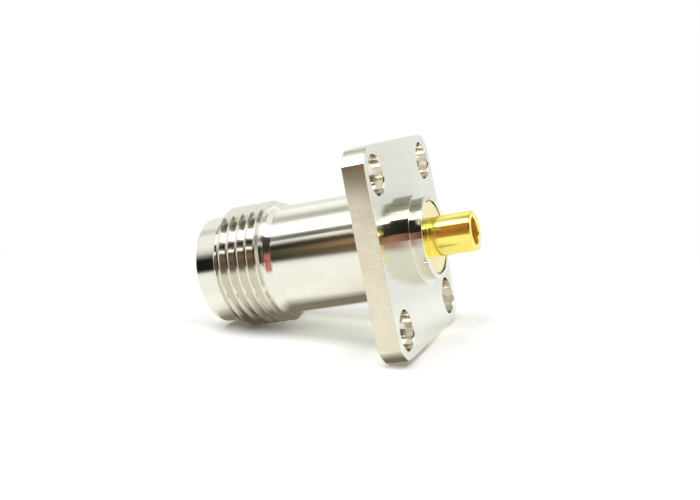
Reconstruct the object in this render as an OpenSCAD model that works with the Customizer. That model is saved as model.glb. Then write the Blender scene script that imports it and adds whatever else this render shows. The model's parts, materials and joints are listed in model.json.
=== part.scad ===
// Panel-mount threaded coaxial jack with a square four-hole flange and a rear solder sleeve.
// All sizes are in millimetres. The axis of the connector is X: the threaded mouth faces -X and
// the solder sleeve faces +X. The origin is the centre of the flange's rear face.

/* [Flange] */
// Side of the square flange
flange_w = 17.5; // [16.5:0.1:25.4]
// Thickness of the flange
flange_t = 1.95; // [1.5:0.05:4]
// Length cut off each side at a flange corner
corner_cut = 1.25; // [0.5:0.05:1.6]
// Centre distance of the fixing holes, the same both ways
hole_spacing = 12.7; // [11.2:0.1:13.2]
// Diameter of the fixing holes
hole_d = 3.3; // [2.2:0.1:3.5]

/* [Barrel and thread] */
// Outside diameter of the plain barrel in front of the flange
barrel_d = 9.65; // [9:0.05:10.4]
// Length of the plain barrel, from the flange to the foot of the cone
barrel_len = 9.6; // [5:0.1:20]
// Diameter over the thread crests
thread_d = 11; // [10.9:0.02:11.2]
// Distance from one thread crest to the next
thread_pitch = 0.907; // [0.7:0.001:1]
// Number of thread grooves
thread_turns = 4; // [2:1:8]
// Length of the plain collar behind the thread
collar_len = 0.65; // [0.3:0.05:2]
// Outside diameter of the plain rim in front of the thread
rim_d = 9.65; // [9.5:0.01:9.8]
// Length of the plain rim
rim_len = 1.85; // [1:0.05:4]
// Bevel on the edges of the mouth
rim_bevel = 0.15; // [0.05:0.01:0.3]

/* [Rear boss] */
// Diameter of the boss where it stands on the flange
boss_d = 7.9; // [7.6:0.05:8.6]
// Height of the boss
boss_h = 0.87; // [0.4:0.01:3]
// Diameter of the crown on top of the boss
crown_d = 7.2; // [6.9:0.05:7.5]
// Height of the crown above the boss
crown_h = 0.98; // [0.5:0.01:3]
// Bevel on the outer edge of the crown
crown_bevel = 0.1; // [0.05:0.01:0.2]

/* [Mouth] */
// Diameter of the mouth that takes the plug's outer contact
mouth_d = 8.1; // [8:0.01:8.2]
// Depth of the mouth, from the front of the rim to the shoulder
mouth_depth = 8.4; // [7:0.05:9]
// Diameter of the opening in the lip that holds the front insulator back
lip_d = 5.6; // [5.2:0.05:6]
// Thickness of that lip
lip_t = 0.8; // [0.4:0.05:1.5]
// Diameter of the bore behind the lip, which holds the insulators and the sleeve's disc
line_d = 6.35; // [6.25:0.01:6.45]

/* [Insulators] */
// Diameter of the front insulator's nose
nose_d = 4.8; // [4:0.05:5]
// Length of the nose, from the shoulder to its tip
nose_len = 5.2; // [3:0.05:6]
// Bevel on the tip of the nose
nose_bevel = 0.25; // [0.1:0.01:0.5]
// Length of the front insulator behind the lip
bead_len = 5.8; // [3:0.1:6.5]

/* [Centre contact] */
// Outside diameter of the socket
contact_d = 2.1; // [1.9:0.01:2.4]
// Diameter of the socket's hole
socket_d = 1.35; // [1.3:0.01:1.4]
// Depth of the socket's hole
socket_depth = 5; // [4:0.1:7]
// Width of the slots that make the socket springy
slot_w = 0.2; // [0.1:0.01:0.25]
// Length of the slots
slot_len = 4.2; // [2:0.1:6]
// Bevel at the mouth of the socket
socket_bevel = 0.15; // [0.05:0.01:0.2]
// How far the socket lies behind the tip of the nose
contact_setback = 0.2; // [0:0.05:0.6]
// Diameter of the collar that holds the contact between the insulators
stop_d = 3; // [2.6:0.05:4]
// Length of that collar
stop_len = 1; // [0.5:0.05:2]
// Outside diameter of the solder tail
tail_d = 1.4; // [1:0.05:1.6]
// Diameter of the solder cup in the tail
cup_d = 0.55; // [0.52:0.01:0.7]
// Depth of the solder cup
cup_depth = 2.5; // [1.5:0.1:3]
// How far the tail ends in front of the sleeve's disc
tail_setback = 0.2; // [0.05:0.05:0.6]

/* [Solder sleeve] */
// Outside diameter of the sleeve's tube
sleeve_d = 3.45; // [3:0.05:4.5]
// Length of the tube behind the disc
sleeve_len = 3.63; // [2:0.01:8]
// Thickness of the disc that sits in the crown
disc_t = 1.2; // [0.8:0.05:1.5]
// How far the disc lies below the end of the crown
disc_setback = 0.12; // [0:0.01:0.4]
// Diameter of the bore that takes the cable's outer conductor
cable_d = 2.3; // [2:0.05:2.6]
// Diameter of the hole that lets the cable's dielectric through
core_d = 1.7; // [1.5:0.05:1.8]
// Length of the hole for the dielectric, which ends in the cable's stop
core_len = 0.7; // [0.3:0.05:2]
// Bevel at the end of the tube, inside and outside
sleeve_bevel = 0.1; // [0.05:0.01:0.2]

/* [Fit] */
// Radial clearance between the pieces
fit_gap = 0.02; // [0.01:0.005:0.04]

/* [Hidden] */
$fn = 96;

// How far a cutting shape runs past the surface that it opens
overrun = 0.5;

// Flat of a thread crest and of a thread root, and depth of a groove, as shares of the pitch
crest_share = 1 / 8;
root_share = 1 / 6;
depth_share = 0.6134;
thread_depth = depth_share * thread_pitch;

// Places along the axis, from the flange towards the mouth
flange_front = -flange_t;
barrel_front = flange_front - barrel_len;
collar_back = barrel_front - (thread_d - barrel_d) / 2;
collar_front = collar_back - collar_len;
thread_front = collar_front - thread_turns * thread_pitch;
rim_back = thread_front - (thread_d - rim_d) / 2;
rim_front = rim_back - rim_len;
shoulder = rim_front + mouth_depth;
nose_tip = shoulder - nose_len;
lip_back = shoulder + lip_t;
bead_back = lip_back + bead_len;
stop_front = bead_back - stop_len;
socket_mouth = nose_tip + contact_setback;

// Places along the axis, from the flange towards the sleeve's end
crown_foot = boss_h;
crown_top = crown_foot + crown_h;
disc_back = crown_top - disc_setback;
disc_front = disc_back - disc_t;
cable_stop = disc_front + core_len;
sleeve_end = disc_back + sleeve_len;
tail_end = disc_front - tail_setback;

// Turns a shape that stands on Z so that it lies along X
module along_x() {
    rotate([0, 90, 0]) children();
}

// A turned shape on the axis, from points given as [radius, place along the axis]
module turned(points) {
    along_x() rotate_extrude() polygon(points);
}

// A round hole or rod on the axis between two places
module round_between(d, from, to) {
    translate([from, 0, 0]) along_x() cylinder(d = d, h = to - from);
}

// One thread groove in front of a crest at the given place: crest edge, both root corners, next crest edge
function groove(crest) =
    let (
        half_crest = crest_share * thread_pitch / 2,
        half_root = root_share * thread_pitch / 2,
        root = crest - thread_pitch / 2
    ) [
        [thread_d / 2, crest - half_crest],
        [thread_d / 2 - thread_depth, root + half_root],
        [thread_d / 2 - thread_depth, root - half_root],
        [thread_d / 2, crest - thread_pitch + half_crest]
    ];

// Outside of the turned part of the body, from the crown forward to the mouth
function body_outline() = [
    [0, crown_top],
    [crown_d / 2 - crown_bevel, crown_top],
    [crown_d / 2, crown_top - crown_bevel],
    [crown_d / 2, crown_foot],
    [boss_d / 2, crown_foot],
    [boss_d / 2, flange_front + flange_t / 2],
    [barrel_d / 2, flange_front + flange_t / 2],
    [barrel_d / 2, barrel_front],
    [thread_d / 2, collar_back],
    for (turn = [0 : thread_turns - 1]) each groove(collar_front - turn * thread_pitch),
    [thread_d / 2, thread_front],
    [rim_d / 2, rim_back],
    [rim_d / 2, rim_front + rim_bevel],
    [rim_d / 2 - rim_bevel, rim_front],
    [0, rim_front]
];

// Inside of the body: mouth, lip and the bore that is open to the rear
function body_bore() = [
    [0, rim_front - overrun],
    [mouth_d / 2 + rim_bevel, rim_front - overrun],
    [mouth_d / 2 + rim_bevel, rim_front],
    [mouth_d / 2, rim_front + rim_bevel],
    [mouth_d / 2, shoulder],
    [lip_d / 2, shoulder],
    [lip_d / 2, lip_back],
    [line_d / 2, lip_back],
    [line_d / 2, crown_top + overrun],
    [0, crown_top + overrun]
];

// Square plate with its four corners cut off
module flange_plate() {
    half = flange_w / 2;
    near = half - corner_cut;
    translate([flange_front, 0, 0]) along_x() linear_extrude(flange_t) polygon([
        [half, near], [near, half], [-near, half], [-half, near],
        [-half, -near], [-near, -half], [near, -half], [half, -near]
    ]);
}

// The four fixing holes
module fixing_holes() {
    for (y = [-1, 1], z = [-1, 1])
        translate([0, y * hole_spacing / 2, z * hole_spacing / 2])
            round_between(hole_d, flange_front - overrun, overrun);
}

// Body turned and milled from one bar: rim, thread, collar, barrel, flange, boss and crown
module flange_body() {
    color("lightgray") difference() {
        union() {
            turned(body_outline());
            flange_plate();
        }
        turned(body_bore());
        fixing_holes();
    }
}

// Front insulator: nose, neck through the lip, and bead with a pocket for the contact's collar
module front_insulator() {
    color("ivory") turned([
        [contact_d / 2 + fit_gap, nose_tip],
        [nose_d / 2 - nose_bevel, nose_tip],
        [nose_d / 2, nose_tip + nose_bevel],
        [nose_d / 2, shoulder],
        [lip_d / 2 - fit_gap, shoulder],
        [lip_d / 2 - fit_gap, lip_back],
        [line_d / 2 - fit_gap, lip_back],
        [line_d / 2 - fit_gap, bead_back],
        [stop_d / 2 + fit_gap, bead_back],
        [stop_d / 2 + fit_gap, stop_front],
        [contact_d / 2 + fit_gap, stop_front]
    ]);
}

// Rear insulator: plain bead that closes the pocket and carries the contact's tail
module rear_insulator() {
    color("ivory") turned([
        [tail_d / 2 + fit_gap, bead_back],
        [line_d / 2 - fit_gap, bead_back],
        [line_d / 2 - fit_gap, disc_front],
        [tail_d / 2 + fit_gap, disc_front]
    ]);
}

// Crossed saw cuts that split the socket into four springy fingers
module socket_slots() {
    for (turn = [0, 90])
        rotate([turn, 0, 0])
            translate([socket_mouth - overrun, -contact_d / 2 - overrun, -slot_w / 2])
                cube([slot_len + overrun, contact_d + 2 * overrun, slot_w]);
}

// Centre contact: slotted socket, collar between the insulators, tail with a solder cup
module centre_contact() {
    color("gold") difference() {
        turned([
            [0, socket_mouth + socket_depth],
            [socket_d / 2, socket_mouth + socket_depth],
            [socket_d / 2, socket_mouth + socket_bevel],
            [socket_d / 2 + socket_bevel, socket_mouth],
            [contact_d / 2, socket_mouth],
            [contact_d / 2, stop_front],
            [stop_d / 2, stop_front],
            [stop_d / 2, bead_back],
            [tail_d / 2, bead_back],
            [tail_d / 2, tail_end],
            [cup_d / 2, tail_end],
            [cup_d / 2, tail_end - cup_depth],
            [0, tail_end - cup_depth]
        ]);
        socket_slots();
    }
}

// Solder sleeve: disc in the crown, and a tube that takes the cable's outer conductor
module solder_sleeve() {
    color("goldenrod") turned([
        [core_d / 2, disc_front],
        [line_d / 2 - fit_gap, disc_front],
        [line_d / 2 - fit_gap, disc_back],
        [sleeve_d / 2, disc_back],
        [sleeve_d / 2, sleeve_end - sleeve_bevel],
        [sleeve_d / 2 - sleeve_bevel, sleeve_end],
        [cable_d / 2 + sleeve_bevel, sleeve_end],
        [cable_d / 2, sleeve_end - sleeve_bevel],
        [cable_d / 2, cable_stop],
        [core_d / 2, cable_stop]
    ]);
}

flange_body();
front_insulator();
rear_insulator();
centre_contact();
solder_sleeve();
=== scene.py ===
# %% [markdown]
# # A threaded coaxial jack, from turned bar to studio picture
# The object is a panel jack: a bright metal body with a thread and a square drilled flange, white insulators
# round a slotted gold socket, and a gold sleeve at the rear that a thin cable is soldered into.
# The CAD model already fixes every size and place, so it is loaded as a frame that never moves. Each piece
# that shows is then modelled again over its solid, with eased edges and a true helical thread, and dressed.

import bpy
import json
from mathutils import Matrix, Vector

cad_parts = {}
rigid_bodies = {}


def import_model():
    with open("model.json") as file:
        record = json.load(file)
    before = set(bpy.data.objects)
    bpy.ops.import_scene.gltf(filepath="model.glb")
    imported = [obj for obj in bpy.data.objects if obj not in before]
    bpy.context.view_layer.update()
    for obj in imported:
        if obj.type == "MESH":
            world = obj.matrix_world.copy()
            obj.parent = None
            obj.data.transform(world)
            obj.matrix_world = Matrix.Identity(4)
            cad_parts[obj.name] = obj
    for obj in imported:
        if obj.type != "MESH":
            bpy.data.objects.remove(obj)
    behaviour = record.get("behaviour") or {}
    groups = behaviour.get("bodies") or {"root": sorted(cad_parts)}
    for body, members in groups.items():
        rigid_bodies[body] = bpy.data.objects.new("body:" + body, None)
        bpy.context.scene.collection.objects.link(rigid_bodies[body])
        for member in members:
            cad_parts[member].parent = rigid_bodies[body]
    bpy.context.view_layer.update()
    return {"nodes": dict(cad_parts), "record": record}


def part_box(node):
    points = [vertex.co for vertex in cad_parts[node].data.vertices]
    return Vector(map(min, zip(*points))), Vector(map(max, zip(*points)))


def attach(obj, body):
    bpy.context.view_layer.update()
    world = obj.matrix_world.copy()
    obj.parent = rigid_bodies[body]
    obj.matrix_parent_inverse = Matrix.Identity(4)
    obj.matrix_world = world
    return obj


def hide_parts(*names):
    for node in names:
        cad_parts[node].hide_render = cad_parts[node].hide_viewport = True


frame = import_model()
print("CAD nodes:", sorted(frame["nodes"]))

# %% [markdown]
# The mounts in the record carry the sizes that other parts have to fit, and the boxes of the nodes give the
# rest of the outside. Reading them here keeps this script true to the solids when a size changes.
# Edge easing and cutting use fixed tolerances that suit furniture better than a part of 24 mm, so everything
# is modelled with one Blender unit to the millimetre and brought down to metres at the very end.

# %% Sizes from the frame, in millimetres
import math

import bpy
from mathutils import Matrix, Vector

MM = 0.001  # one millimetre in metres


def node_box(node):
    """Lowest and highest corner of a CAD node, in millimetres."""
    low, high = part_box(node)
    return low / MM, high / MM


def mount_size(mount, size):
    """One measure of a mount, in millimetres."""
    return mounts[mount]["dims"][size]


mounts = {mount["name"]: mount for mount in frame["record"]["mounts"]}
body_low, body_high = node_box("flange_body")
bead_low, bead_high = node_box("front_insulator")
contact_low, contact_high = node_box("centre_contact")
sleeve_low, sleeve_high = node_box("solder_sleeve")
rim_front, crown_top = body_low.x, body_high.x
flange_half = body_high.y
flange_front = mounts["front_face"]["pos_m"][0] / MM
boss_r = mount_size("boss_pilot", "r_mm")
boss_h = mount_size("boss_pilot", "length_mm")
print(f"Flange {2 * flange_half:.2f} mm square, body from {rim_front:.2f} to {crown_top:.2f} mm along X")

# %% [markdown]
# ## The camera
# The picture is taken from low down, a little towards the sleeve end, with the camera rolled over so that
# the flange leans. Three turns say this: round the object, up from the level, and about the line of sight.
# The camera's own axes are worked out from those turns and put into its matrix, so that no target object is
# needed.

# %% Camera
view_turn = math.radians(22.468)
view_rise = math.radians(6.447)
view_roll = math.radians(-11.489)
view_distance = 81.997  # mm
view_target = Vector((-6.111, 0, -0.003))  # mm
lens_length = 47.784  # mm, on a sensor 36 mm wide

back = Vector((
    math.sin(view_turn) * math.cos(view_rise),
    -math.cos(view_turn) * math.cos(view_rise),
    math.sin(view_rise),
))
level_right = Vector((math.cos(view_turn), math.sin(view_turn), 0))
level_up = back.cross(level_right)
camera_right = math.cos(view_roll) * level_right + math.sin(view_roll) * level_up
camera_up = back.cross(camera_right)
bpy.ops.object.camera_add()
camera = bpy.context.object
camera.data.lens = lens_length
camera.data.sensor_width = 36
camera.data.clip_start = MM
camera.matrix_world = Matrix.Translation((view_target + back * view_distance) * MM) @ Matrix(
    (camera_right, camera_up, back)
).transposed().to_4x4()
bpy.context.scene.camera = camera
bpy.context.scene.view_settings.view_transform = "Standard"
print("Camera stands at", [round(x / MM, 1) for x in camera.matrix_world.translation], "mm")

# %% [markdown]
# ## Node helpers
# Every finish below is a small node tree. Four helpers keep those trees short to read: one adds a node and
# sets or links its inputs, one opens a new material, one maps a range of values onto another, and one turns a
# value into a colour through a row of stops.

# %% Node helpers
def node(tree, kind, inputs=None, **properties):
    """Adds a node, sets its properties, and sets or links its inputs by name or number."""
    made = tree.nodes.new("ShaderNode" + kind)
    for name, value in properties.items():
        setattr(made, name, value)
    for name, value in (inputs or {}).items():
        if isinstance(value, bpy.types.NodeSocket):
            tree.links.new(value, made.inputs[name])
        else:
            made.inputs[name].default_value = value
    return made


def new_material(name):
    """An empty material, with its tree and its output node."""
    material = bpy.data.materials.new(name)
    material.use_nodes = True
    material.node_tree.nodes.clear()
    output = material.node_tree.nodes.new("ShaderNodeOutputMaterial")
    return material, material.node_tree, output


def spread(tree, value, low, high, low_to=0.0, high_to=1.0):
    """Maps a range of values onto another one."""
    sockets = {"Value": value, "From Min": low, "From Max": high, "To Min": low_to, "To Max": high_to}
    return node(tree, "MapRange", sockets).outputs["Result"]


def ramp(tree, value, stops):
    """The colour for a value, through (value, colour) stops in rising order."""
    low, high = stops[0][0], stops[-1][0]
    made = node(tree, "ValToRGB", {0: spread(tree, value, low, high)})
    elements = made.color_ramp.elements
    while len(elements) < len(stops):
        elements.new(0.5)
    for element, (stop, colour) in zip(elements, stops):
        element.position = (stop - low) / (high - low)
        element.color = (*colour, 1)
    return made.outputs["Color"]


print("Node helpers ready")

# %% [markdown]
# ## The white table
# The jack lies on a white table, tipped on the edge of its flange and the first thread crest. The table is a
# round sheet just under both. Its slope is the angle between the jack's axis and the table.

# %% Table
table_slope = math.radians(12.7)
table_r = 60 * MM
table_clearance = 0.02  # mm under the lowest edge
table_middle = 7  # mm along the table, from the flange's edge to the middle of the sheet
foot = Vector((flange_front, 0, -flange_half - table_clearance))
table_centre = foot + table_middle * Vector((-math.cos(table_slope), 0, math.sin(table_slope)))

bpy.ops.object.select_all(action="DESELECT")
bpy.ops.mesh.primitive_circle_add(vertices=96, radius=table_r, fill_type="NGON")
table = bpy.context.object
table.name = "table"
bpy.ops.object.mode_set(mode="EDIT")
bpy.ops.mesh.select_all(action="SELECT")
bpy.ops.mesh.inset(thickness=table_r / 4)
bpy.ops.object.mode_set(mode="OBJECT")
table.location = table_centre * MM
table.rotation_euler = (0, table_slope, 0)
print(f"Table slopes {math.degrees(table_slope):.1f} degrees")

# %% [markdown]
# Close to the jack the table is a matt white that takes the shadow, and further out it runs into plain white,
# so that no edge of the sheet shows against the white behind it. Polished metal throws light back into its
# own shadow. A faint glow of the table stands for that, under the barrel and at the near foot of the flange.
# The underside of the jack mirrors the table where the shadow is deepest, so mirrors see three darker
# patches: along the barrel, under the thread and at that foot. All places are in mm from the sheet's middle.

# %% Table helpers
table_white, table_tree, table_output = new_material("white_table")
table_place = node(table_tree, "TexCoord").outputs["Object"]
table_axes = node(table_tree, "SeparateXYZ", {0: table_place}).outputs
mirrored = node(table_tree, "LightPath").outputs["Is Glossy Ray"]
bounce_tint = (0.98, 1, 0.87, 1)


def patch(along, across):
    """How strong a patch is: its level along X times its level across in Y, through (mm, level) stops."""
    levels = []
    for axis, stops in (("X", along), ("Y", across)):
        grey_stops = [(step * MM, (level, level, level)) for step, level in stops]
        levels.append(ramp(table_tree, table_axes[axis], grey_stops))
    return node(table_tree, "Math", {0: levels[0], 1: levels[1]}, operation="MULTIPLY").outputs[0]


def bounced(along, across):
    """The glow of light that the metal throws back, in a patch."""
    strength = patch(along, across)
    return node(table_tree, "Emission", {"Color": bounce_tint, "Strength": strength}).outputs[0]


def shaded(under, along, across, colour):
    """The surface with a dark patch that only mirrors see."""
    share = node(table_tree, "Math", {0: patch(along, across), 1: mirrored}, operation="MULTIPLY").outputs[0]
    dark = node(table_tree, "Emission", {"Color": (*colour, 1), "Strength": 1}).outputs[0]
    return node(table_tree, "MixShader", {0: share, 1: under, 2: dark}).outputs[0]


print("Table helpers ready")

# %% Table finish
white_from, white_to = 32 * MM, 54 * MM  # where the matt white runs into plain white
barrel_bounce = bounced(
    [
        (-14, 0.1), (-12, 0.26), (-10, 0.04), (-8, 0.02), (-6.5, 0.1), (-4.6, 0.17),
        (3.5, 0.22), (7, 0.23), (11, 0.1), (15, 0.14),
    ],
    [(-9, 0), (-4, 0.6), (-2, 0.6), (0, 1.5), (2, 2.2), (4, 2.8), (6, 1.8), (9, 1)],
)
foot_bounce = bounced(
    [(4, 0), (6, 0.24), (7.2, 0.2), (9, 0)],
    [(-9.5, 0), (-7, 0.8), (-4.5, 1), (-2, 0.3), (0, 0)],
)
surface = node(table_tree, "BsdfDiffuse", {"Color": (0.85, 0.85, 0.85, 1)}).outputs[0]
for glow in (barrel_bounce, foot_bounce):
    surface = node(table_tree, "AddShader", {0: surface, 1: glow}).outputs[0]
under_barrel = shaded(
    surface,
    [(-11, 0), (-10.9, 1), (3.9, 1), (4, 0)],
    [(-4, 0), (-3.4, 0.25), (-2.6, 0.6), (-1.9, 1), (1.2, 1), (3, 0.4), (5, 0)],
    colour=(0.24, 0.21, 0.16),
)
under_thread = shaded(
    under_barrel,
    [(-9, 0), (-7.8, 1), (-5.6, 1), (-4.4, 0)],
    [(-8, 0), (-6, 0.15), (-4.5, 0.5), (-3, 0.9), (-2, 1), (1.2, 1), (3, 0)],
    colour=(0.12, 0.1, 0.07),
)
at_foot = shaded(
    under_thread,
    [(5.8, 0), (6, 1), (9.8, 1), (10, 0)],
    [(-9.2, 0), (-8.6, 0.3), (-7.7, 1), (-6.5, 1), (-6.4, 0)],
    colour=(0.2, 0.17, 0.12),
)
from_middle = node(table_tree, "VectorMath", {0: table_place}, operation="LENGTH").outputs["Value"]
white_share = spread(table_tree, from_middle, white_from, white_to)
plain_white = node(table_tree, "Emission", {"Strength": 1.0}).outputs[0]
whole_table = node(table_tree, "MixShader", {0: white_share, 1: at_foot, 2: plain_white}).outputs[0]
table_tree.links.new(whole_table, table_output.inputs["Surface"])
table.data.materials.append(table_white)
print("Table finish:", len(table_tree.nodes), "nodes")

# %% [markdown]
# ## The light
# Polished metal has almost no colour of its own: it shows the room. A photographer lights it with one broad
# soft box overhead and plain white all round. The world is that white for the camera and for reflections.
# For everything else it is only a weak fill, because full white all round would wash out the shadow, and
# light that comes to the table by way of the metal counts as fill too. A weaker lamp over the camera opens
# up the near part of the shadow.

# %% White surroundings
world = bpy.data.worlds.new("white_room")
bpy.context.scene.world = world
world.use_nodes = True
tree = world.node_tree
tree.nodes.clear()
path = node(tree, "LightPath").outputs
seen = node(tree, "Math", {0: path["Is Camera Ray"], 1: path["Is Glossy Ray"]}).outputs[0]
seen = node(tree, "Math", {0: seen, 1: path["Is Transmission Ray"]}, use_clamp=True).outputs[0]
from_matt = path["Diffuse Depth"]  # 0 until the light path has met a matt surface
seen = node(tree, "Math", {0: seen, 1: from_matt}, operation="SUBTRACT", use_clamp=True).outputs[0]
fill = node(tree, "Background", {"Color": (1, 0.99, 0.96, 1), "Strength": 0.3}).outputs[0]
white = node(tree, "Background", {"Color": (1, 1, 1, 1), "Strength": 1}).outputs[0]
surroundings = node(tree, "MixShader", {0: seen, 1: fill, 2: white}).outputs[0]
output = tree.nodes.new("ShaderNodeOutputWorld")
tree.links.new(surroundings, output.inputs["Surface"])
print("World:", world.name)

# %% Soft box and fill
def soft_box(name, angle, x, size, energy):
    """A rectangular lamp half a metre away, turned up by an angle in degrees from the near side."""
    reach = 0.5
    up = math.radians(angle)
    bpy.ops.object.light_add(type="AREA")
    lamp = bpy.context.object
    lamp.name = name
    lamp.data.shape = "RECTANGLE"
    lamp.data.size, lamp.data.size_y = size
    lamp.data.energy = energy
    lamp.location = (x, -reach * math.cos(up), reach * math.sin(up))
    lamp.rotation_euler = (math.pi / 2 - up, 0, 0)
    return lamp


key = soft_box("key_light", angle=76, x=0.15, size=(0.8, 0.22), energy=2.15)
front_fill = soft_box("front_fill", angle=50, x=0.15, size=(0.5, 0.3), energy=1.6)
front_fill.visible_glossy = False
print("Lamps:", [lamp.name for lamp in (key, front_fill)])

# %% [markdown]
# ## Cards
# The photographer also stands dark cards on the camera's side, because the dark bands they leave on the metal
# are what makes it look round. Flat planes would do, but a strip spun round the jack's axis faces it all
# over, and its edges are then simply angles up from the near side. The cards are long in X, as the jack is,
# so the bands run along it, and some of them fade at an edge as cloth out of focus does. Only reflections see
# them.

# %% Card helpers
def wire(name, points, closed=False):
    """A chain of edges through the points, drawn by extruding one corner on from point to point."""
    bpy.ops.object.select_all(action="DESELECT")
    bpy.ops.mesh.primitive_plane_add(size=1)
    piece = bpy.context.object
    piece.name = name
    piece.data.name = name
    bpy.ops.object.mode_set(mode="EDIT")
    bpy.ops.mesh.select_all(action="SELECT")
    bpy.ops.mesh.merge(type="CENTER")
    bpy.ops.transform.translate(value=points[0])
    chain = [Vector(point) for point in points]
    if closed:
        chain.append(chain[0])
    for last, point in zip(chain, chain[1:]):
        bpy.ops.mesh.extrude_vertices_move(TRANSFORM_OT_translate={"value": point - last})
    bpy.ops.mesh.select_all(action="SELECT")
    return piece


def card(name, low, high, material, left=-1.6, right=1.6, reach=0.4):
    """A curved card that only reflections see, between two angles in degrees up from the near side."""
    start = math.radians(low)
    y, z = -reach * math.cos(start), reach * math.sin(start)
    piece = wire(name, [(left, y, z), (right, y, z)])
    bpy.ops.mesh.spin(steps=12, angle=math.radians(high - low), center=(0, 0, 0), axis=(1, 0, 0))
    bpy.ops.object.mode_set(mode="OBJECT")
    piece.data.materials.append(material)
    piece.visible_camera = False
    piece.visible_diffuse = False
    piece.visible_shadow = False
    return piece


lean_from = -0.23  # m along X, where a leaning card starts to lean


def card_finish(name, along, cover=None, mottle=0.0, lean=0.0, cloud=14):
    """A card's colour along X in metres, how it covers round X in degrees, and how strongly it is mottled.

    The mottling has so many clouds to a metre. A card that leans has its cover shifted by so many degrees
    for a metre of X, from lean_from on.
    """
    material, tree, output = new_material(name)
    place = node(tree, "TexCoord").outputs["Object"]
    axes = node(tree, "SeparateXYZ", {0: place}).outputs
    clouds = node(tree, "TexNoise", {"Vector": place, "Scale": cloud, "Detail": 2}).outputs[0]
    strength = spread(tree, clouds, 0.35, 0.65, 1 - mottle, 1 + mottle)
    glow = node(tree, "Emission", {"Color": ramp(tree, axes["X"], along), "Strength": strength}).outputs[0]
    if cover:
        near = node(tree, "Math", {0: axes["Y"], 1: -1}, operation="MULTIPLY").outputs[0]
        turn = node(tree, "Math", {0: axes["Z"], 1: near}, operation="ARCTAN2").outputs[0]
        turn = node(tree, "Math", {0: turn}, operation="DEGREES").outputs[0]
        shift = node(tree, "Math", {0: axes["X"], 1: lean_from}, operation="MAXIMUM").outputs[0]
        turn = node(tree, "Math", {0: shift, 1: lean, 2: turn}, operation="MULTIPLY_ADD").outputs[0]
        share = ramp(tree, turn, [(angle, (amount, amount, amount)) for angle, amount in cover])
        clear = node(tree, "BsdfTransparent").outputs[0]
        glow = node(tree, "MixShader", {0: share, 1: clear, 2: glow}).outputs[0]
    tree.links.new(glow, output.inputs["Surface"])
    return material


def even(colour):
    """Stops of one colour all along a card."""
    return [(-1, colour), (1, colour)]


print("Card helpers ready")

# %% [markdown]
# The near side is dark. A cloth hangs low on the left, black at its far end and warm towards the middle.
# Black cards stand above it and to its right, with a red one at the right end. Between and below them the
# white room shows as bright bands. Three narrow strips in front of the cards draw thin lines on the threaded
# end: a light one, a stronger one for the grooves and a brown one.

# %% Dark finishes
black = (0.008, 0.008, 0.008)
red = (0.55, 0.15, 0.12)
cloth_along = [
    (-0.27, black),
    (-0.235, black),
    (-0.2, (0.09, 0.09, 0.06)),
    (-0.18, (0.13, 0.12, 0.08)),
    (-0.164, (0.17, 0.1, 0.06)),
    (-0.15, (0.17, 0.13, 0.09)),
    (-0.14, (0.18, 0.16, 0.13)),
]
black_along = [
    (-0.21, (0.025, 0.025, 0.025)),
    (-0.188, (0.05, 0.05, 0.045)),
    (-0.164, (0.14, 0.1, 0.06)),
    (-0.14, (0.12, 0.11, 0.09)),
    (-0.09, (0.12, 0.11, 0.09)),
    (-0.06, black),
    (0.15, black),
    (0.25, (0.05, 0.05, 0.045)),
]
high_along = [
    (-0.21, (0.1, 0.1, 0.09)),
    (-0.18, (0.11, 0.11, 0.09)),
    (-0.164, (0.45, 0.43, 0.35)),
    (-0.15, black),
]
cloth_cover = [(-15, 0), (-12, 0.25), (-8, 0.85), (-5, 1)]
fading_cover = [(34, 1), (42, 0.75), (50, 0.25), (58, 0.05), (62, 0)]
warm_cloth = card_finish("warm_cloth", cloth_along, cloth_cover, mottle=0.3, lean=73)
red_cloth = card_finish("red_cloth", even(red), [(-16, 0), (-11, 1)], mottle=0.2)
plain_black = card_finish("plain_black", black_along, mottle=0.5)
fading_black = card_finish("fading_black", even(black), fading_cover)
high_black = card_finish("high_black", high_along, [(50, 1), (57.5, 1), (62, 0)])
dark_finishes = [warm_cloth, red_cloth, plain_black, fading_black, high_black]
print("Dark finishes:", [finish.name for finish in dark_finishes])

# %% Finishes of the narrow strips
line_along = [(-0.225, (0.9, 0.9, 0.9)), (-0.19, (0.8, 0.8, 0.78)), (-0.17, (1.3, 1.3, 1.25))]
brown_along = [(-0.18, (0.05, 0.04, 0.025)), (-0.168, (0.47, 0.26, 0.135))]
line_cover = [(40, 0), (44, 0.5), (46, 1), (49, 1), (51.5, 0)]
thin_light = card_finish("thin_light", line_along, line_cover)
strong_light = card_finish("strong_light", even((3, 3, 3)), [(39, 0), (40, 1), (44, 1), (45, 0)])
brown_strip = card_finish("brown_strip", brown_along, [(18, 0), (22, 1), (29, 1), (34, 0)], mottle=0.3)
print("Strip finishes:", [finish.name for finish in (thin_light, strong_light, brown_strip)])

# %% Cards on the near side
near_cards = [
    card("low_card", -12, 31, warm_cloth, right=0),
    card("strip_card", 8, 31, plain_black, left=0, right=0.31),
    card("red_card", -16, 27, red_cloth, left=0.31, right=0.385),
    card("red_top", 27, 31, plain_black, left=0.31, right=0.385),
    card("left_card", 31, 62, fading_black, right=-0.225),
    card("middle_card", 31, 50, plain_black, left=-0.225),
    card("line_light", 40, 51.5, thin_light, left=-0.225, right=-0.155, reach=0.39),
    card("groove_light", 39, 45, strong_light, left=-0.144, right=-0.1, reach=0.39),
    card("brown_card", 18, 34, brown_strip, left=-0.18, right=-0.152, reach=0.395),
    card("high_card", 50, 62, high_black, left=-0.225, right=0.05),
    card("right_card", 50, 65, plain_black, left=0.05),
]
print("Near cards:", [piece.name for piece in near_cards])

# %% [markdown]
# Overhead and behind, pale grey cards keep the top of the barrel and the far side from being one flat white.
# A darker one gives the grooves of the thread their depth.

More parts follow.
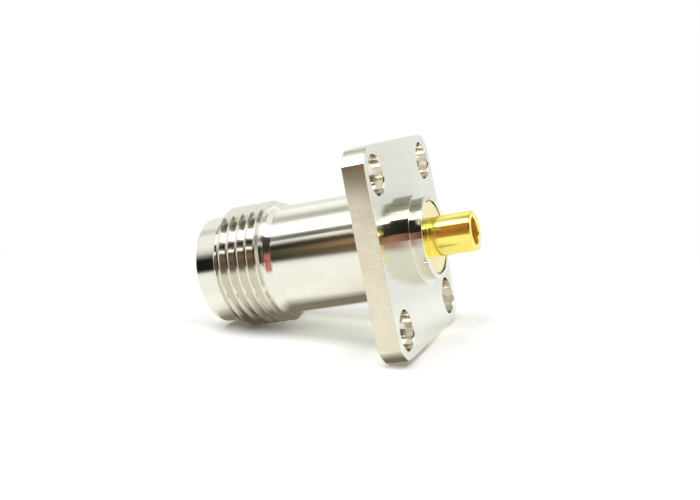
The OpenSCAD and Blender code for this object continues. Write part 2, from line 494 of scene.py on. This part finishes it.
# %% Cards overhead and behind
seam_along = [
    (-0.34, (0.28, 0.28, 0.26)),
    (-0.3, (0.62, 0.63, 0.6)),
    (-0.235, (0.8, 0.82, 0.78)),
    (-0.2, (0.57, 0.57, 0.54)),
    (-0.14, (0.53, 0.53, 0.5)),
    (-0.108, (0.95, 0.96, 0.93)),
]
back_along = [(-0.23, (0.95, 0.97, 0.97)), (-0.205, (1.17, 1.17, 1.17))]
groove_cover = [(80, 0), (83, 1), (106, 1), (112, 0)]
seam_grey = card_finish("seam_grey", seam_along, [(92, 0), (99, 1), (106, 1), (118, 0)])
groove_grey = card_finish("groove_grey", even((0.17, 0.17, 0.14)), groove_cover)
back_white = card_finish("back_white", back_along, [(117, 0), (128, 1), (135, 1), (143, 0)])
dim_white = card_finish("dim_white", even((0.9, 0.92, 0.93)), [(138, 0), (147, 1), (178, 1)])
far_cards = [
    card("seam_card", 92, 118, seam_grey, right=0.04),
    card("groove_card", 80, 112, groove_grey, left=-0.1, right=0.06, reach=0.395),
    card("back_card", 117, 143, back_white, left=-0.5, right=0.04),
    card("dim_card", 138, 178, dim_white, left=-0.5, right=0.04),
]
print("Far cards:", [piece.name for piece in far_cards])

# %% [markdown]
# Four small cards stand only 20 to 40 mm from the axis. A card so close is seen by the surface next to it and
# hardly by the others: two are for the rear face of the flange, one for the crown and one for the gold tube.

# %% Close cards
ceiling_cover = [(66, 0), (73, 0.8), (90, 0.8), (98, 1), (130, 1), (146, 0.6), (156, 0)]
shade_cover = [(166, 0), (170, 0.1), (177, 0.13), (179, 0.3), (183, 0.3), (187, 0)]
maroon_cover = [(-16, 0), (-7, 0.5), (1, 0.85), (8, 1)]
amber_cover = [(-6, 0), (4, 1), (49, 1), (57, 0.5), (62, 0)]
ceiling_grey = card_finish("ceiling_grey", even((0.32, 0.32, 0.28)), ceiling_cover, mottle=0.3, cloud=140)
shade_green = card_finish("shade_green", even((0.3, 0.31, 0.2)), shade_cover)
maroon = card_finish("maroon", even((0.4, 0.18, 0.12)), maroon_cover, mottle=0.4, cloud=280)
amber = card_finish("amber", even((0.46, 0.2, 0.07)), amber_cover, mottle=0.25, cloud=190)
close_cards = [
    card("ceiling_card", 66, 156, ceiling_grey, left=0.01, right=0.03, reach=0.04),
    card("shade_card", 166, 187, shade_green, left=0.013, right=0.019, reach=0.04),
    card("crown_card", -16, 25, maroon, left=0.0048, right=0.0095, reach=0.02),
    card("gold_card", -6, 62, amber, left=-0.0068, right=-0.0018, reach=0.03),
]
print("Close cards:", [piece.name for piece in close_cards])

# %% [markdown]
# ## Turned pieces
# Nearly everything on this jack came off a lathe, so the main tool is a lathe too: an outline is drawn as a
# chain of edges on one side of the axis and spun once round it. A real edge is never perfectly sharp, and it
# is the eased edge that catches the light, so a corner of the outline may carry an ease: how far from the
# corner a short curve starts. A cube with bevels would never give the flow of light along a turned edge.

# %% Lathe helpers
weld = 1e-4  # mm, corners closer than this are one corner
round_steps = 192
ease_steps = 4


def eased(outline):
    """The closed outline of (x, radius, ease) corners as points, each ease drawn as a short curve."""
    points = []
    for i, (x, radius, ease) in enumerate(outline):
        corner = Vector((x, 0, radius))
        if not ease:
            points.append(corner)
            continue
        last = Vector((outline[i - 1][0], 0, outline[i - 1][1]))
        following = outline[(i + 1) % len(outline)]
        start = corner + (last - corner).normalized() * ease
        end = corner + (Vector((following[0], 0, following[1])) - corner).normalized() * ease
        for step in range(ease_steps + 1):
            share = step / ease_steps
            points.append(start.lerp(corner, share).lerp(corner.lerp(end, share), share))
    return points


def turned(name, outline, steps=round_steps):
    """A solid of revolution about X, from its closed outline."""
    piece = wire(name, eased(outline), closed=True)
    bpy.ops.mesh.remove_doubles(threshold=weld)
    bpy.ops.mesh.spin(steps=steps, angle=math.tau, center=(0, 0, 0), axis=(1, 0, 0))
    bpy.ops.mesh.select_all(action="SELECT")
    bpy.ops.mesh.remove_doubles(threshold=weld)
    bpy.ops.mesh.normals_make_consistent(inside=False)
    bpy.ops.object.mode_set(mode="OBJECT")
    return piece


def work_on(piece):
    """Makes one object the only selected and active one."""
    bpy.ops.object.select_all(action="DESELECT")
    piece.select_set(True)
    bpy.context.view_layer.objects.active = piece


def combine(piece, other, operation):
    """Joins another solid to the piece or cuts it away, and uses the other up."""
    work_on(piece)
    bpy.ops.object.modifier_add(type="BOOLEAN")
    modifier = piece.modifiers[-1]
    modifier.operation = operation
    modifier.solver = "EXACT"
    modifier.object = other
    bpy.ops.object.modifier_apply(modifier=modifier.name)
    bpy.data.objects.remove(other)


print("Lathe ready,", round_steps, "steps a turn")

# %% [markdown]
# ## The body: turned blank
# The body starts as a turned blank: crown and boss at the rear, a plain barrel, a cone up to a narrow land,
# the plain cylinder that will carry the thread, a lead-in chamfer and the rim. On the real part the flange is
# left thick on the bar and milled square afterwards. Here it is joined on as a plate in the next step. The
# blank is solid: its bore is cut later, just as on the lathe.

# %% Turned blank
crown_r = 3.6
crown_fullness = 0.03  # how much fuller the crown is at its end
barrel_r = 4.825
cone_foot = -11.51  # where the cone leaves the barrel
thread_r = 5.5
thread_front = -16.503
rim_r = 4.825
rim_back = thread_front - (thread_r - rim_r)
flank_angle = math.radians(33)
land_r = 5.2
land_back = -12.04
thread_back = -12.42
land_front = thread_back + (thread_r - land_r) * math.tan(flank_angle)
inside_flange = flange_front / 2
fine = 0.04  # mm, ease of a crisp turned edge
soft = 0.1  # mm, ease of an edge that was broken with a tool

body = turned("jack_body", [
    (crown_top, 0, 0),
    (crown_top, crown_r, soft),
    (boss_h, crown_r - crown_fullness, 0),
    (boss_h, boss_r, fine),
    (inside_flange, boss_r, 0),
    (inside_flange, barrel_r, 0),
    (cone_foot, barrel_r, 0.05),
    (land_back, land_r, 0.08),
    (land_front, land_r, 0.03),
    (thread_back, thread_r, 0.02),
    (thread_front, thread_r, 0.06),
    (rim_back, rim_r, 0.05),
    (rim_front, rim_r, 0.14),
    (rim_front, 0, 0),
])
print(body.name, "blank:", len(body.data.polygons), "faces")

# %% [markdown]
# ## The body: flange
# The flange is a square plate with its corners taken off. Its corners were filed and then tumbled, so they
# are a little full, and the sides fall away very slightly towards them. That is too fine for a bevel on a
# cube, so one corner is drawn as a row of points, turned to all four corners, filled and extruded to the
# thickness. Then every sharp edge gets a fine round, because a milled edge is always broken by hand.

# %% Outline of the flange
corner_cut = 1.3  # where the filed corner meets a side, in mm from the square corner
fall = 0.12  # how far the side has fallen away there
fall_start = 4.6  # where a side starts to fall away, in mm from the square corner
fall_power = 2.2  # the fall starts gently and gets steeper
side_places = (fall_start, 4, 3.4, 2.8, 2.2, 1.7, corner_cut)  # mm from the square corner
swell = 0.045  # how far the filed corner swells in its middle
quarter_swell = 0.7 * swell  # how far it swells a quarter of the way along

half_corner = [
    (place, fall * ((fall_start - place) / (fall_start - corner_cut)) ** fall_power) for place in side_places
]
quarter_in = (3 * corner_cut + fall) / 4 - quarter_swell
quarter_down = (corner_cut + 3 * fall) / 4 - quarter_swell
half_corner.append((quarter_in, quarter_down))
middle_cut = (corner_cut + fall) / 2 - swell
other_half = [(down, along) for along, down in reversed(half_corner)]
whole_corner = half_corner + [(middle_cut, middle_cut)] + other_half
plate_outline = []
for quarter_turn in range(4):
    turn = Matrix.Rotation(quarter_turn * math.pi / 2, 3, "X")
    for along, down in whole_corner:
        plate_outline.append(turn @ Vector((flange_front, down - flange_half, along - flange_half)))
print("Flange outline:", len(plate_outline), "points")

# %% Flange plate
edge_break = 0.08
sharp_edge = math.radians(25)

plate = wire("plate", plate_outline, closed=True)
bpy.ops.mesh.remove_doubles(threshold=weld)
bpy.ops.mesh.edge_face_add()
bpy.ops.mesh.extrude_region_move(TRANSFORM_OT_translate={"value": (-flange_front, 0, 0)})
bpy.ops.mesh.select_all(action="SELECT")
bpy.ops.mesh.normals_make_consistent(inside=False)
bpy.ops.mesh.select_mode(type="EDGE")
bpy.ops.mesh.select_all(action="DESELECT")
bpy.ops.mesh.edges_select_sharp(sharpness=sharp_edge)
bpy.ops.mesh.bevel(offset=edge_break, segments=3, affect="EDGES")
bpy.ops.mesh.select_mode(type="VERT")
bpy.ops.object.mode_set(mode="OBJECT")
print("Plate:", len(plate.data.polygons), "faces")
combine(body, plate, "UNION")
print("Blank with flange:", len(body.data.polygons), "faces")

# %% [markdown]
# ## The body: bore
# The inside is one turned cutter: the mouth that takes the plug, the lip that stops the insulator, and the
# bore behind it. Where the cutter leaves the metal it flares a little, so each opening gets its broken edge
# in the same cut.

# %% Bore
mouth_r = 4.05
shoulder = -10.628
lip_r = 2.8
lip_back = -9.828
line_r = 3.175
rim_bevel = 0.15
overrun = 0.5

bore = turned("bore", [
    (rim_front - overrun, 0, 0),
    (rim_front - overrun, mouth_r + rim_bevel + overrun, 0),
    (rim_front + rim_bevel, mouth_r, 0.06),
    (shoulder, mouth_r, 0),
    (shoulder, lip_r, fine),
    (lip_back, lip_r, fine),
    (lip_back, line_r, 0),
    (crown_top - fine, line_r, 0),
    (crown_top + overrun, line_r + overrun + fine, 0),
    (crown_top + overrun, 0, 0),
])
combine(body, bore, "DIFFERENCE")
print("Bored body:", len(body.data.polygons), "faces")

# %% [markdown]
# ## The body: fixing holes
# Four screws hold the jack to a panel. Their holes could be cut by plain cylinders, but a drill that flares
# at both ends breaks the edges of its hole in the same cut. It is turned once and copied to the four corners.

# %% Fixing holes
hole_r = mount_size("flange_holes", "hole_r_mm")
hole_place = mount_size("flange_holes", "spacing_x_mm") / 2
drill = turned("drill", [
    (flange_front - overrun, 0, 0),
    (flange_front - overrun, hole_r + overrun + edge_break, 0),
    (flange_front + edge_break, hole_r, 0.05),
    (-edge_break, hole_r, 0.05),
    (overrun, hole_r + overrun + edge_break, 0),
    (overrun, 0, 0),
], steps=96)
hole_centres = [Vector((0, y * hole_place, z * hole_place)) for y in (-1, 1) for z in (-1, 1)]
for centre in hole_centres:
    work_on(drill)
    bpy.ops.object.duplicate()
    copy = bpy.context.object
    copy.location = centre
    bpy.ops.object.transform_apply(location=True)
    combine(body, copy, "DIFFERENCE")
bpy.data.objects.remove(drill)
print("Drilled body:", len(body.data.polygons), "faces")

# %% [markdown]
# ## The body: the thread
# A screw thread is one groove that winds round the cylinder, and it could be faked with rings or a bump.
# Here it is cut the way a lathe cuts it: the section of the tool is drawn once, the Screw modifier winds it
# along a helix, and the wound tool is cut out of the blank. At the front the groove starts in the chamfer.

# %% Section of the thread tool
pitch = 0.907
crest_half = pitch / 16
nose_radius = 0.04
nose_reach = 57  # degrees each way, where the round nose meets the flanks
tool_lift = 0.08  # how far the tool stands above the crests
near_crest = -12.68  # place of the last crest on the near side, next to the land
full_turns = 5  # whole turns from the start of the groove to that crest
first_turn = near_crest - pitch / 4 - pitch / 2 - full_turns * pitch
groove_half = pitch / 2 - crest_half
groove_depth = groove_half / math.tan(flank_angle) - nose_radius * (1 / math.sin(flank_angle) - 1)
nose_centre = thread_r - groove_depth + nose_radius
top_half = groove_half + tool_lift * math.tan(flank_angle)
nose_turns = [math.radians(turn) for turn in range(-nose_reach, nose_reach + 1, nose_reach // 3)]

tool = wire("thread_tool", [
    (first_turn - top_half, 0, thread_r + tool_lift),
    *[
        (first_turn + nose_radius * math.sin(turn), 0, nose_centre - nose_radius * math.cos(turn))
        for turn in nose_turns
    ],
    (first_turn + top_half, 0, thread_r + tool_lift),
], closed=True)
bpy.ops.mesh.remove_doubles(threshold=weld)
bpy.ops.object.mode_set(mode="OBJECT")
section_corners = len(tool.data.vertices)
print("Tool section:", section_corners, "corners, for a groove", round(groove_depth, 3), "mm deep")

# %% Winding the tool
turns = 6.8

bpy.ops.object.modifier_add(type="SCREW")
screw = tool.modifiers[-1]
screw.axis = "X"
screw.angle = turns * math.tau
screw.screw_offset = turns * pitch
screw.iterations = 1
screw.steps = round(turns * round_steps)
screw.render_steps = screw.steps
screw.use_merge_vertices = False
bpy.ops.object.modifier_apply(modifier=screw.name)
winds = len(tool.data.vertices) // section_corners - 1
print("Wound tool:", winds, "steps in", turns, "turns")

# %% [markdown]
# Before the land the tool comes up and its tip is cut flat, so that for one more turn it only trims the back
# of the last crest, and then it leaves the metal. So each section of the wound tool that is past the start of
# the rise has its tip moved out to the depth of that turn, and spread to the width of the flanks there.

# %% Run-out and cut
rise_from, rise_to = 5.45, 5.95  # turns over which the tool comes up to the land
out_from = 6.5  # turn at which it starts to leave the metal
above_land = 0.01  # mm between the raised tip and the land
nose_half = nose_radius * math.cos(flank_angle)


def tip_radius(turn):
    """How deep the tool cuts: full depth, then just over the land, and at last out of the metal."""
    root_r, shallow_r, out_r = thread_r - groove_depth, land_r + above_land, thread_r + tool_lift / 2
    rise = min(max((turn - rise_from) / (rise_to - rise_from), 0), 1)
    out = max((turn - out_from) / (turns - out_from), 0)
    return root_r + (shallow_r - root_r) * rise * rise * (3 - 2 * rise) + (out_r - shallow_r) * out


for i, corner in enumerate(tool.data.vertices):
    turn = (i // section_corners) / winds * turns
    radius = math.hypot(corner.co.y, corner.co.z)
    tip = tip_radius(turn)
    if radius >= tip or turn < rise_from:
        continue
    middle = first_turn + turn * pitch
    tip_half = groove_half - (thread_r - tip) * math.tan(flank_angle)
    x = middle + (corner.co.x - middle) * tip_half / nose_half
    corner.co = (x, corner.co.y * tip / radius, corner.co.z * tip / radius)
bpy.ops.object.mode_set(mode="EDIT")
bpy.ops.mesh.select_all(action="SELECT")
bpy.ops.mesh.fill_holes(sides=section_corners)
bpy.ops.mesh.select_all(action="SELECT")
bpy.ops.mesh.quads_convert_to_tris()
bpy.ops.mesh.normals_make_consistent(inside=False)
bpy.ops.object.mode_set(mode="OBJECT")
print("Thread tool:", len(tool.data.polygons), "faces")
combine(body, tool, "DIFFERENCE")
print("Threaded body:", len(body.data.polygons), "faces")

# %% [markdown]
# ## The lay
# Every tool leaves a lay: fine lines in the direction it moved. A lathe leaves rings, a brush leaves straight
# lines. Reflections smear across those lines, and that is what tells turned metal from brushed metal. The
# lay is stored as a UV map in millimetres: U runs across the lines and V along them. Rings are measured round
# the axis they were cut about, and their seam is put underneath.

# %% Lay helpers
flat = 0.9  # a face whose normal has this much X faces along the axis
cone_share = 0.3  # share of the radius that keeps the rings of a cone apart


def ring_lay(place, normal, middle, centre):
    """Across and along the rings of a turned surface about an axis through centre."""
    arm = place - centre
    radius = math.hypot(arm.y, arm.z)
    across = radius if abs(normal.x) > flat else place.x + cone_share * radius
    middle_turn = math.atan2(middle.y - centre.y, middle.z - centre.z)
    turn = math.atan2(arm.y, arm.z)
    turn -= math.tau * round((turn - middle_turn) / math.tau)
    return across, turn * radius


def mesh_lay(piece, lay_of_face):
    """Writes the lay map, from a function of a face that returns a function of a place on it."""
    layer = piece.data.uv_layers.new(name="lay")
    for face in piece.data.polygons:
        place_to_lay = lay_of_face(face)
        for loop in face.loop_indices:
            place = piece.data.vertices[piece.data.loops[loop].vertex_index].co
            layer.data[loop].uv = place_to_lay(place)


def all_rings(face):
    """Lay of a piece that was turned about the jack's axis all over."""
    normal, middle = face.normal.copy(), face.center.copy()
    return lambda place: ring_lay(place, normal, middle, Vector((0, 0, 0)))


print("Lay helpers ready")

# %% [markdown]
# The faces of the body are told apart by the tool that made them, from their place and the way they face. The
# thread is looked for first, because it lies within the turned outside.

# %% Faces by their tool
chamfer_lean = 0.75  # the lead-in chamfer faces less along the axis than this
below_root = thread_r - 1.2 * groove_depth  # a little under the root of the thread


def hole_of(face):
    """Centre of the fixing hole that a face belongs to, if there is one."""
    for centre in hole_centres:
        if (face.center - centre).yz.length < hole_r + 2 * edge_break:
            return centre
    return None


finish_names = ["turned", "brushed", "milled", "filed", "threaded", "drilled", "bored"]


def body_part(face):
    """The finish of a face of the body, by the tool that made it."""
    x, y, z = face.center
    radius = math.hypot(y, z)
    if rim_back < x < land_front and below_root < radius < thread_r - fine:
        on_chamfer = x < thread_front and -chamfer_lean < face.normal.x < 0
        return "turned" if on_chamfer else "threaded"
    if radius < mouth_r + weld and x < lip_back:
        return "bored"
    if x < flange_front - weld or x > weld:
        return "turned"
    if abs(face.normal.x) > flat and min(abs(x), abs(x - flange_front)) < weld:
        return "brushed"
    if hole_of(face):
        return "drilled"
    if radius < barrel_r + soft:
        return "turned"
    return "milled" if max(abs(face.normal.y), abs(face.normal.z)) > flat else "filed"


parts = [body_part(face) for face in body.data.polygons]
print("Faces of each finish:", {name: parts.count(name) for name in finish_names})

# %% Lay of the body
def body_lay(face):
    """Lay of one face of the body: rings, upright brushing, lines across an edge or streaks along a hole."""
    part = body_part(face)
    normal, middle = face.normal.copy(), face.center.copy()
    if part == "brushed":
        return lambda place: (place.y, place.z)
    if part == "milled":
        return lambda place: (place.z if abs(normal.y) > abs(normal.z) else place.y, place.x)
    if part == "filed":
        return lambda place: (place.x, place.z)
    if part == "drilled":
        centre = hole_of(face)
        return lambda place: tuple(reversed(ring_lay(place, normal, middle, centre)))
    return lambda place: ring_lay(place, normal, middle, Vector((0, 0, 0)))


mesh_lay(body, body_lay)
print("Lay maps of the body:", [layer.name for layer in body.data.uv_layers])

# %% [markdown]
# ## Metal finishes
# The body is bare bright metal with a warm cast. One helper builds the shader from what differs: the two
# tints it wanders between, the range of its roughness, how strongly reflections smear across the lay, and
# how the lines of the lay are spaced. The lines drive tint, roughness and a very low bump together, because
# on real metal a deeper scratch is also duller. The bump is a few thousandths of a millimetre at most.

# %% Metal helper
cloud_scale = 0.35 / MM  # slow changes of tint, to a metre
few_marks, many_marks = 1.1, 1.9  # usual range of the three noises added up


def lined_metal(name, dark, light, rough, smear, lines, along, bump, grain):
    """Metal with a lay: lines per mm across it, their spread along it, and a fine grain on top."""
    material, tree, output = new_material(name)
    lay = node(tree, "UVMap", uv_map="lay").outputs["UV"]
    stretch = node(tree, "Mapping", {"Vector": lay, "Scale": (lines, along, 1)}).outputs[0]
    lined = {"Vector": stretch, "Scale": 1, "Detail": 4, "Roughness": 0.65}
    scratches = node(tree, "TexNoise", lined).outputs[0]
    place = node(tree, "TexCoord").outputs["Object"]
    grains = node(tree, "TexNoise", {"Vector": place, "Scale": grain / MM, "Detail": 3}).outputs[0]
    clouds = node(tree, "TexNoise", {"Vector": place, "Scale": cloud_scale, "Detail": 2}).outputs[0]
    height = node(tree, "Math", {0: scratches, 1: grains}, operation="ADD").outputs[0]
    marks = node(tree, "Math", {0: height, 1: clouds}, operation="ADD").outputs[0]
    bumps = node(tree, "Bump", {"Height": height, "Distance": bump * MM, "Strength": 1})
    tangent = node(tree, "Tangent", direction_type="UV_MAP", uv_map="lay")
    metal = node(tree, "BsdfPrincipled", {
        "Base Color": ramp(tree, marks, [(few_marks, dark), (many_marks, light)]),
        "Metallic": 1,
        "Roughness": spread(tree, marks, few_marks, many_marks, rough[1], rough[0]),
        "Anisotropic": smear,
        "Normal": bumps.outputs[0],
        "Tangent": tangent.outputs[0],
    })
    tree.links.new(metal.outputs[0], output.inputs["Surface"])
    return material


print("Metal helper ready")

# %% Metals of the body
body_metals = [
    lined_metal(
        "turned", dark=(0.79, 0.77, 0.665), light=(0.87, 0.855, 0.75), rough=(0.07, 0.12), smear=0.5,
        lines=14, along=0.01, bump=0.0015, grain=9,
    ),
    lined_metal(
        "brushed", dark=(0.705, 0.715, 0.645), light=(0.775, 0.785, 0.71), rough=(0.09, 0.15), smear=0.6,
        lines=12, along=0.5, bump=0.0012, grain=12,
    ),
    lined_metal(
        "milled", dark=(0.67, 0.61, 0.46), light=(0.82, 0.77, 0.61), rough=(0.12, 0.2), smear=0.2,
        lines=10, along=1.2, bump=0.0015, grain=14,
    ),
    lined_metal(
        "filed", dark=(0.75, 0.73, 0.63), light=(0.85, 0.83, 0.73), rough=(0.1, 0.17), smear=0.3,
        lines=8, along=0.3, bump=0.001, grain=10,
    ),
    # The thread's tints are darker than the turned ones: painted shade for the depth of its grooves.
    lined_metal(
        "threaded", dark=(0.73, 0.7, 0.61), light=(0.8, 0.77, 0.68), rough=(0.06, 0.12), smear=0.4,
        lines=12, along=0.02, bump=0.002, grain=9,
    ),
    lined_metal(
        "drilled", dark=(0.74, 0.7, 0.6), light=(0.9, 0.88, 0.8), rough=(0.03, 0.09), smear=0.3,
        lines=3, along=0.15, bump=0.006, grain=9,
    ),
    lined_metal(
        "bored", dark=(0.72, 0.7, 0.61), light=(0.84, 0.82, 0.73), rough=(0.22, 0.34), smear=0.6,
        lines=10, along=0.01, bump=0.003, grain=9,
    ),
]
print("Metals of the body:", [metal.name for metal in body_metals])

# %% [markdown]
# ## Finishing the body
# The faces get their finishes by what cut them. Smooth shading would round off the flats, so edges over a
# limit stay sharp, and the Weighted Normal modifier lets the large faces decide the light at each corner, as
# on a solid whose small rounds are true. Then the piece comes down to metres and rides on the frame.

# %% Body finish
sharp_angle = math.radians(32)


def finished(piece, materials, stands_for):
    """Shades a piece, brings it to metres and puts it in the frame in place of its CAD node."""
    for material in materials:
        piece.data.materials.append(material)
    work_on(piece)
    bpy.ops.object.shade_smooth_by_angle(angle=sharp_angle)
    bpy.ops.object.modifier_add(type="WEIGHTED_NORMAL")
    modifier = piece.modifiers[-1]
    modifier.keep_sharp = True
    bpy.ops.object.modifier_apply(modifier=modifier.name)
    piece.scale = (MM, MM, MM)
    bpy.ops.object.transform_apply(scale=True)
    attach(piece, "root")
    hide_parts(stands_for)
    piece.data.calc_loop_triangles()
    print(piece.name, "stands for", stands_for, "with", len(piece.data.loop_triangles), "triangles")


for face, part in zip(body.data.polygons, parts):
    face.material_index = finish_names.index(part)
finished(body, body_metals, "flange_body")

# %% [markdown]
# ## The gold sleeve
# The sleeve is a disc that sits in the crown and a short tube that the cable's outer conductor is soldered
# into. It is turned in one piece and gold plated, so it is one outline. The tube's end is broken inside and
# out, which gives the bright ring round its hole. The plating is bright on the tube, paler on the disc's
# faced side, and dull inside the bore, where no tool polished it. The deeper orange inside the bore is
# painted: it stands for the light that bounces round in the gold bore.

# %% Gold sleeve
disc_back = 1.73
relief_depth = 0.3
relief_width = 0.1
relief_front = disc_back - relief_depth
relief_r = sleeve_high.y - relief_width
tube_r = 1.725
cable_r = mount_size("cable_bore", "r_mm")
core_r = 0.85
web = 0.7  # metal left in front of the cable's end
cable_stop = sleeve_low.x + web
tube_bevel = 0.1

sleeve = turned("cable_sleeve", [
    (sleeve_low.x, core_r, fine),
    (sleeve_low.x, sleeve_high.y, fine),
    (relief_front, sleeve_high.y, fine),
    (relief_front, relief_r, 0),
    (disc_back, relief_r, fine),
    (disc_back, tube_r, 0.05),
    (sleeve_high.x, tube_r, 0.12),
    (sleeve_high.x, cable_r + tube_bevel, 0.04),
    (sleeve_high.x - tube_bevel, cable_r, 0.04),
    (cable_stop, cable_r, 0),
    (cable_stop, core_r, fine),
])
mesh_lay(sleeve, all_rings)
print(sleeve.name, "outline spun:", len(sleeve.data.polygons), "faces")

# %% Gold plating
bright_gold = lined_metal(
    "bright_gold", dark=(0.95, 0.79, 0.15), light=(1.0, 0.87, 0.24), rough=(0.13, 0.2), smear=0.3,
    lines=10, along=0.01, bump=0.001, grain=8,
)
pale_gold = lined_metal(
    "pale_gold", dark=(0.88, 0.79, 0.4), light=(0.96, 0.88, 0.5), rough=(0.2, 0.32), smear=0.4,
    lines=16, along=0.01, bump=0.002, grain=8,
)
# Painted light: this deeper orange stands for light bouncing round inside the bore. The dullness is the
# plating's own.
deep_gold = lined_metal(
    "deep_gold", dark=(0.9, 0.54, 0.08), light=(1.0, 0.66, 0.14), rough=(0.4, 0.5), smear=0.2,
    lines=8, along=0.01, bump=0.002, grain=8,
)
sleeve_golds = [bright_gold, pale_gold, deep_gold]
for face in sleeve.data.polygons:
    radius = face.center.yz.length
    if radius > tube_r and face.normal.x > flat:
        face.material_index = sleeve_golds.index(pale_gold)
    elif radius < cable_r + weld and face.center.x < sleeve_high.x - tube_bevel:
        face.material_index = sleeve_golds.index(deep_gold)
finished(sleeve, sleeve_golds, "solder_sleeve")

# %% [markdown]
# ## The front insulator
# Inside the mouth a white nose of PTFE carries the socket. It is a soft, waxy plastic that is turned too, so
# it shows faint rings and lets a little light into it. A plain white shader would look like plaster. The
# rear insulator is shut in behind it, so its solid stays as it is and takes the same finish.

# %% Front insulator
nose_r = 2.4
nose_bevel = 0.25
fit_gap = 0.02
stop_r = 1.5
stop_front = -5.028
contact_r = 1.05

bead = turned("insulator_bead", [
    (bead_low.x, contact_r + fit_gap, 0.08),
    (bead_low.x, nose_r, nose_bevel),
    (shoulder, nose_r, 0),
    (shoulder, lip_r - fit_gap, 0),
    (lip_back, lip_r - fit_gap, 0),
    (lip_back, bead_high.y, fine),
    (bead_high.x, bead_high.y, fine),
    (bead_high.x, stop_r + fit_gap, fine),
    (stop_front, stop_r + fit_gap, 0),
    (stop_front, contact_r + fit_gap, 0),
])
mesh_lay(bead, all_rings)
print(bead.name, "outline spun:", len(bead.data.polygons), "faces")

# %% White PTFE
def waxy_plastic(name):
    """White turned PTFE: faint rings, a slow change of tint and a little light under the skin."""
    material, tree, output = new_material(name)
    place = node(tree, "TexCoord").outputs["Object"]
    cloud = node(tree, "TexNoise", {"Vector": place, "Scale": 0.8 / MM, "Detail": 3})
    fleck = node(tree, "TexNoise", {"Vector": place, "Scale": 9 / MM, "Detail": 2})
    wave = {"Vector": place, "Scale": 1.6 / MM, "Distortion": 0.6}
    rings = node(tree, "TexWave", wave, bands_direction="X")
    tint = ramp(tree, cloud.outputs[0], [(0.3, (0.8, 0.79, 0.75)), (0.7, (0.9, 0.895, 0.87))])
    height = node(tree, "Math", {0: rings.outputs["Fac"], 1: fleck.outputs[0]}, operation="ADD")
    bumps = node(tree, "Bump", {"Height": height.outputs[0], "Distance": 0.004 * MM, "Strength": 1})
    plastic = node(tree, "BsdfPrincipled", {
        "Base Color": tint,
        "Roughness": spread(tree, fleck.outputs[0], 0.3, 0.7, 0.38, 0.55),
        "Subsurface Weight": 0.25,
        "Subsurface Radius": (1, 0.9, 0.8),
        "Subsurface Scale": 0.4 * MM,
        "Normal": bumps.outputs[0],
    })
    tree.links.new(plastic.outputs[0], output.inputs["Surface"])
    return material


white_ptfe = waxy_plastic("white_ptfe")
finished(bead, [white_ptfe], "front_insulator")
for slot in frame["nodes"]["rear_insulator"].material_slots:
    slot.material = white_ptfe

# %% [markdown]
# ## The socket contact
# The socket is a turned pin with a blind hole, split into four springy fingers by two crossed saw cuts. The
# outline is spun first, and a thin plate cuts the slots, once level and once upright, as a slitting saw does.
# Behind the fingers a collar keeps the contact between the insulators, and the tail ends in a solder cup.

# %% Socket contact
socket_r = mount_size("contact_socket", "r_mm")
socket_depth = 5
socket_bevel = 0.15
slot_w = 0.2
slot_len = 4.2
bead_back = bead_high.x
tail_r = 0.7
cup_r = 0.275
cup_depth = 2.5

contact = turned("socket_contact", [
    (contact_low.x + socket_depth, 0, 0),
    (contact_low.x + socket_depth, socket_r, 0),
    (contact_low.x + socket_bevel, socket_r, 0.05),
    (contact_low.x, socket_r + socket_bevel, 0.03),
    (contact_low.x, contact_r, 0.06),
    (stop_front, contact_r, 0),
    (stop_front, stop_r, fine),
    (bead_back, stop_r, fine),
    (bead_back, tail_r, 0),
    (contact_high.x, tail_r, fine),
    (contact_high.x, cup_r, fine),
    (contact_high.x - cup_depth, cup_r, 0),
    (contact_high.x - cup_depth, 0, 0),
], steps=96)
saw_middle = contact_low.x + (slot_len - overrun) / 2
for quarter_turn in (0, math.pi / 2):
    bpy.ops.object.select_all(action="DESELECT")
    bpy.ops.mesh.primitive_cube_add(size=1, location=(saw_middle, 0, 0), rotation=(quarter_turn, 0, 0))
    saw = bpy.context.object
    saw.scale = (slot_len + overrun, 2 * stop_r, slot_w)
    bpy.ops.object.transform_apply(location=True, rotation=True, scale=True)
    combine(contact, saw, "DIFFERENCE")
mesh_lay(contact, all_rings)
contact_gold = lined_metal(
    "contact_gold", dark=(0.9, 0.66, 0.24), light=(0.98, 0.76, 0.34), rough=(0.12, 0.22), smear=0.4,
    lines=12, along=0.01, bump=0.0008, grain=8,
)
finished(contact, [contact_gold], "centre_contact")

# %% [markdown]
# ## Size
# The dressed part has to keep the size of the solids.

# %% Size and finish
import json
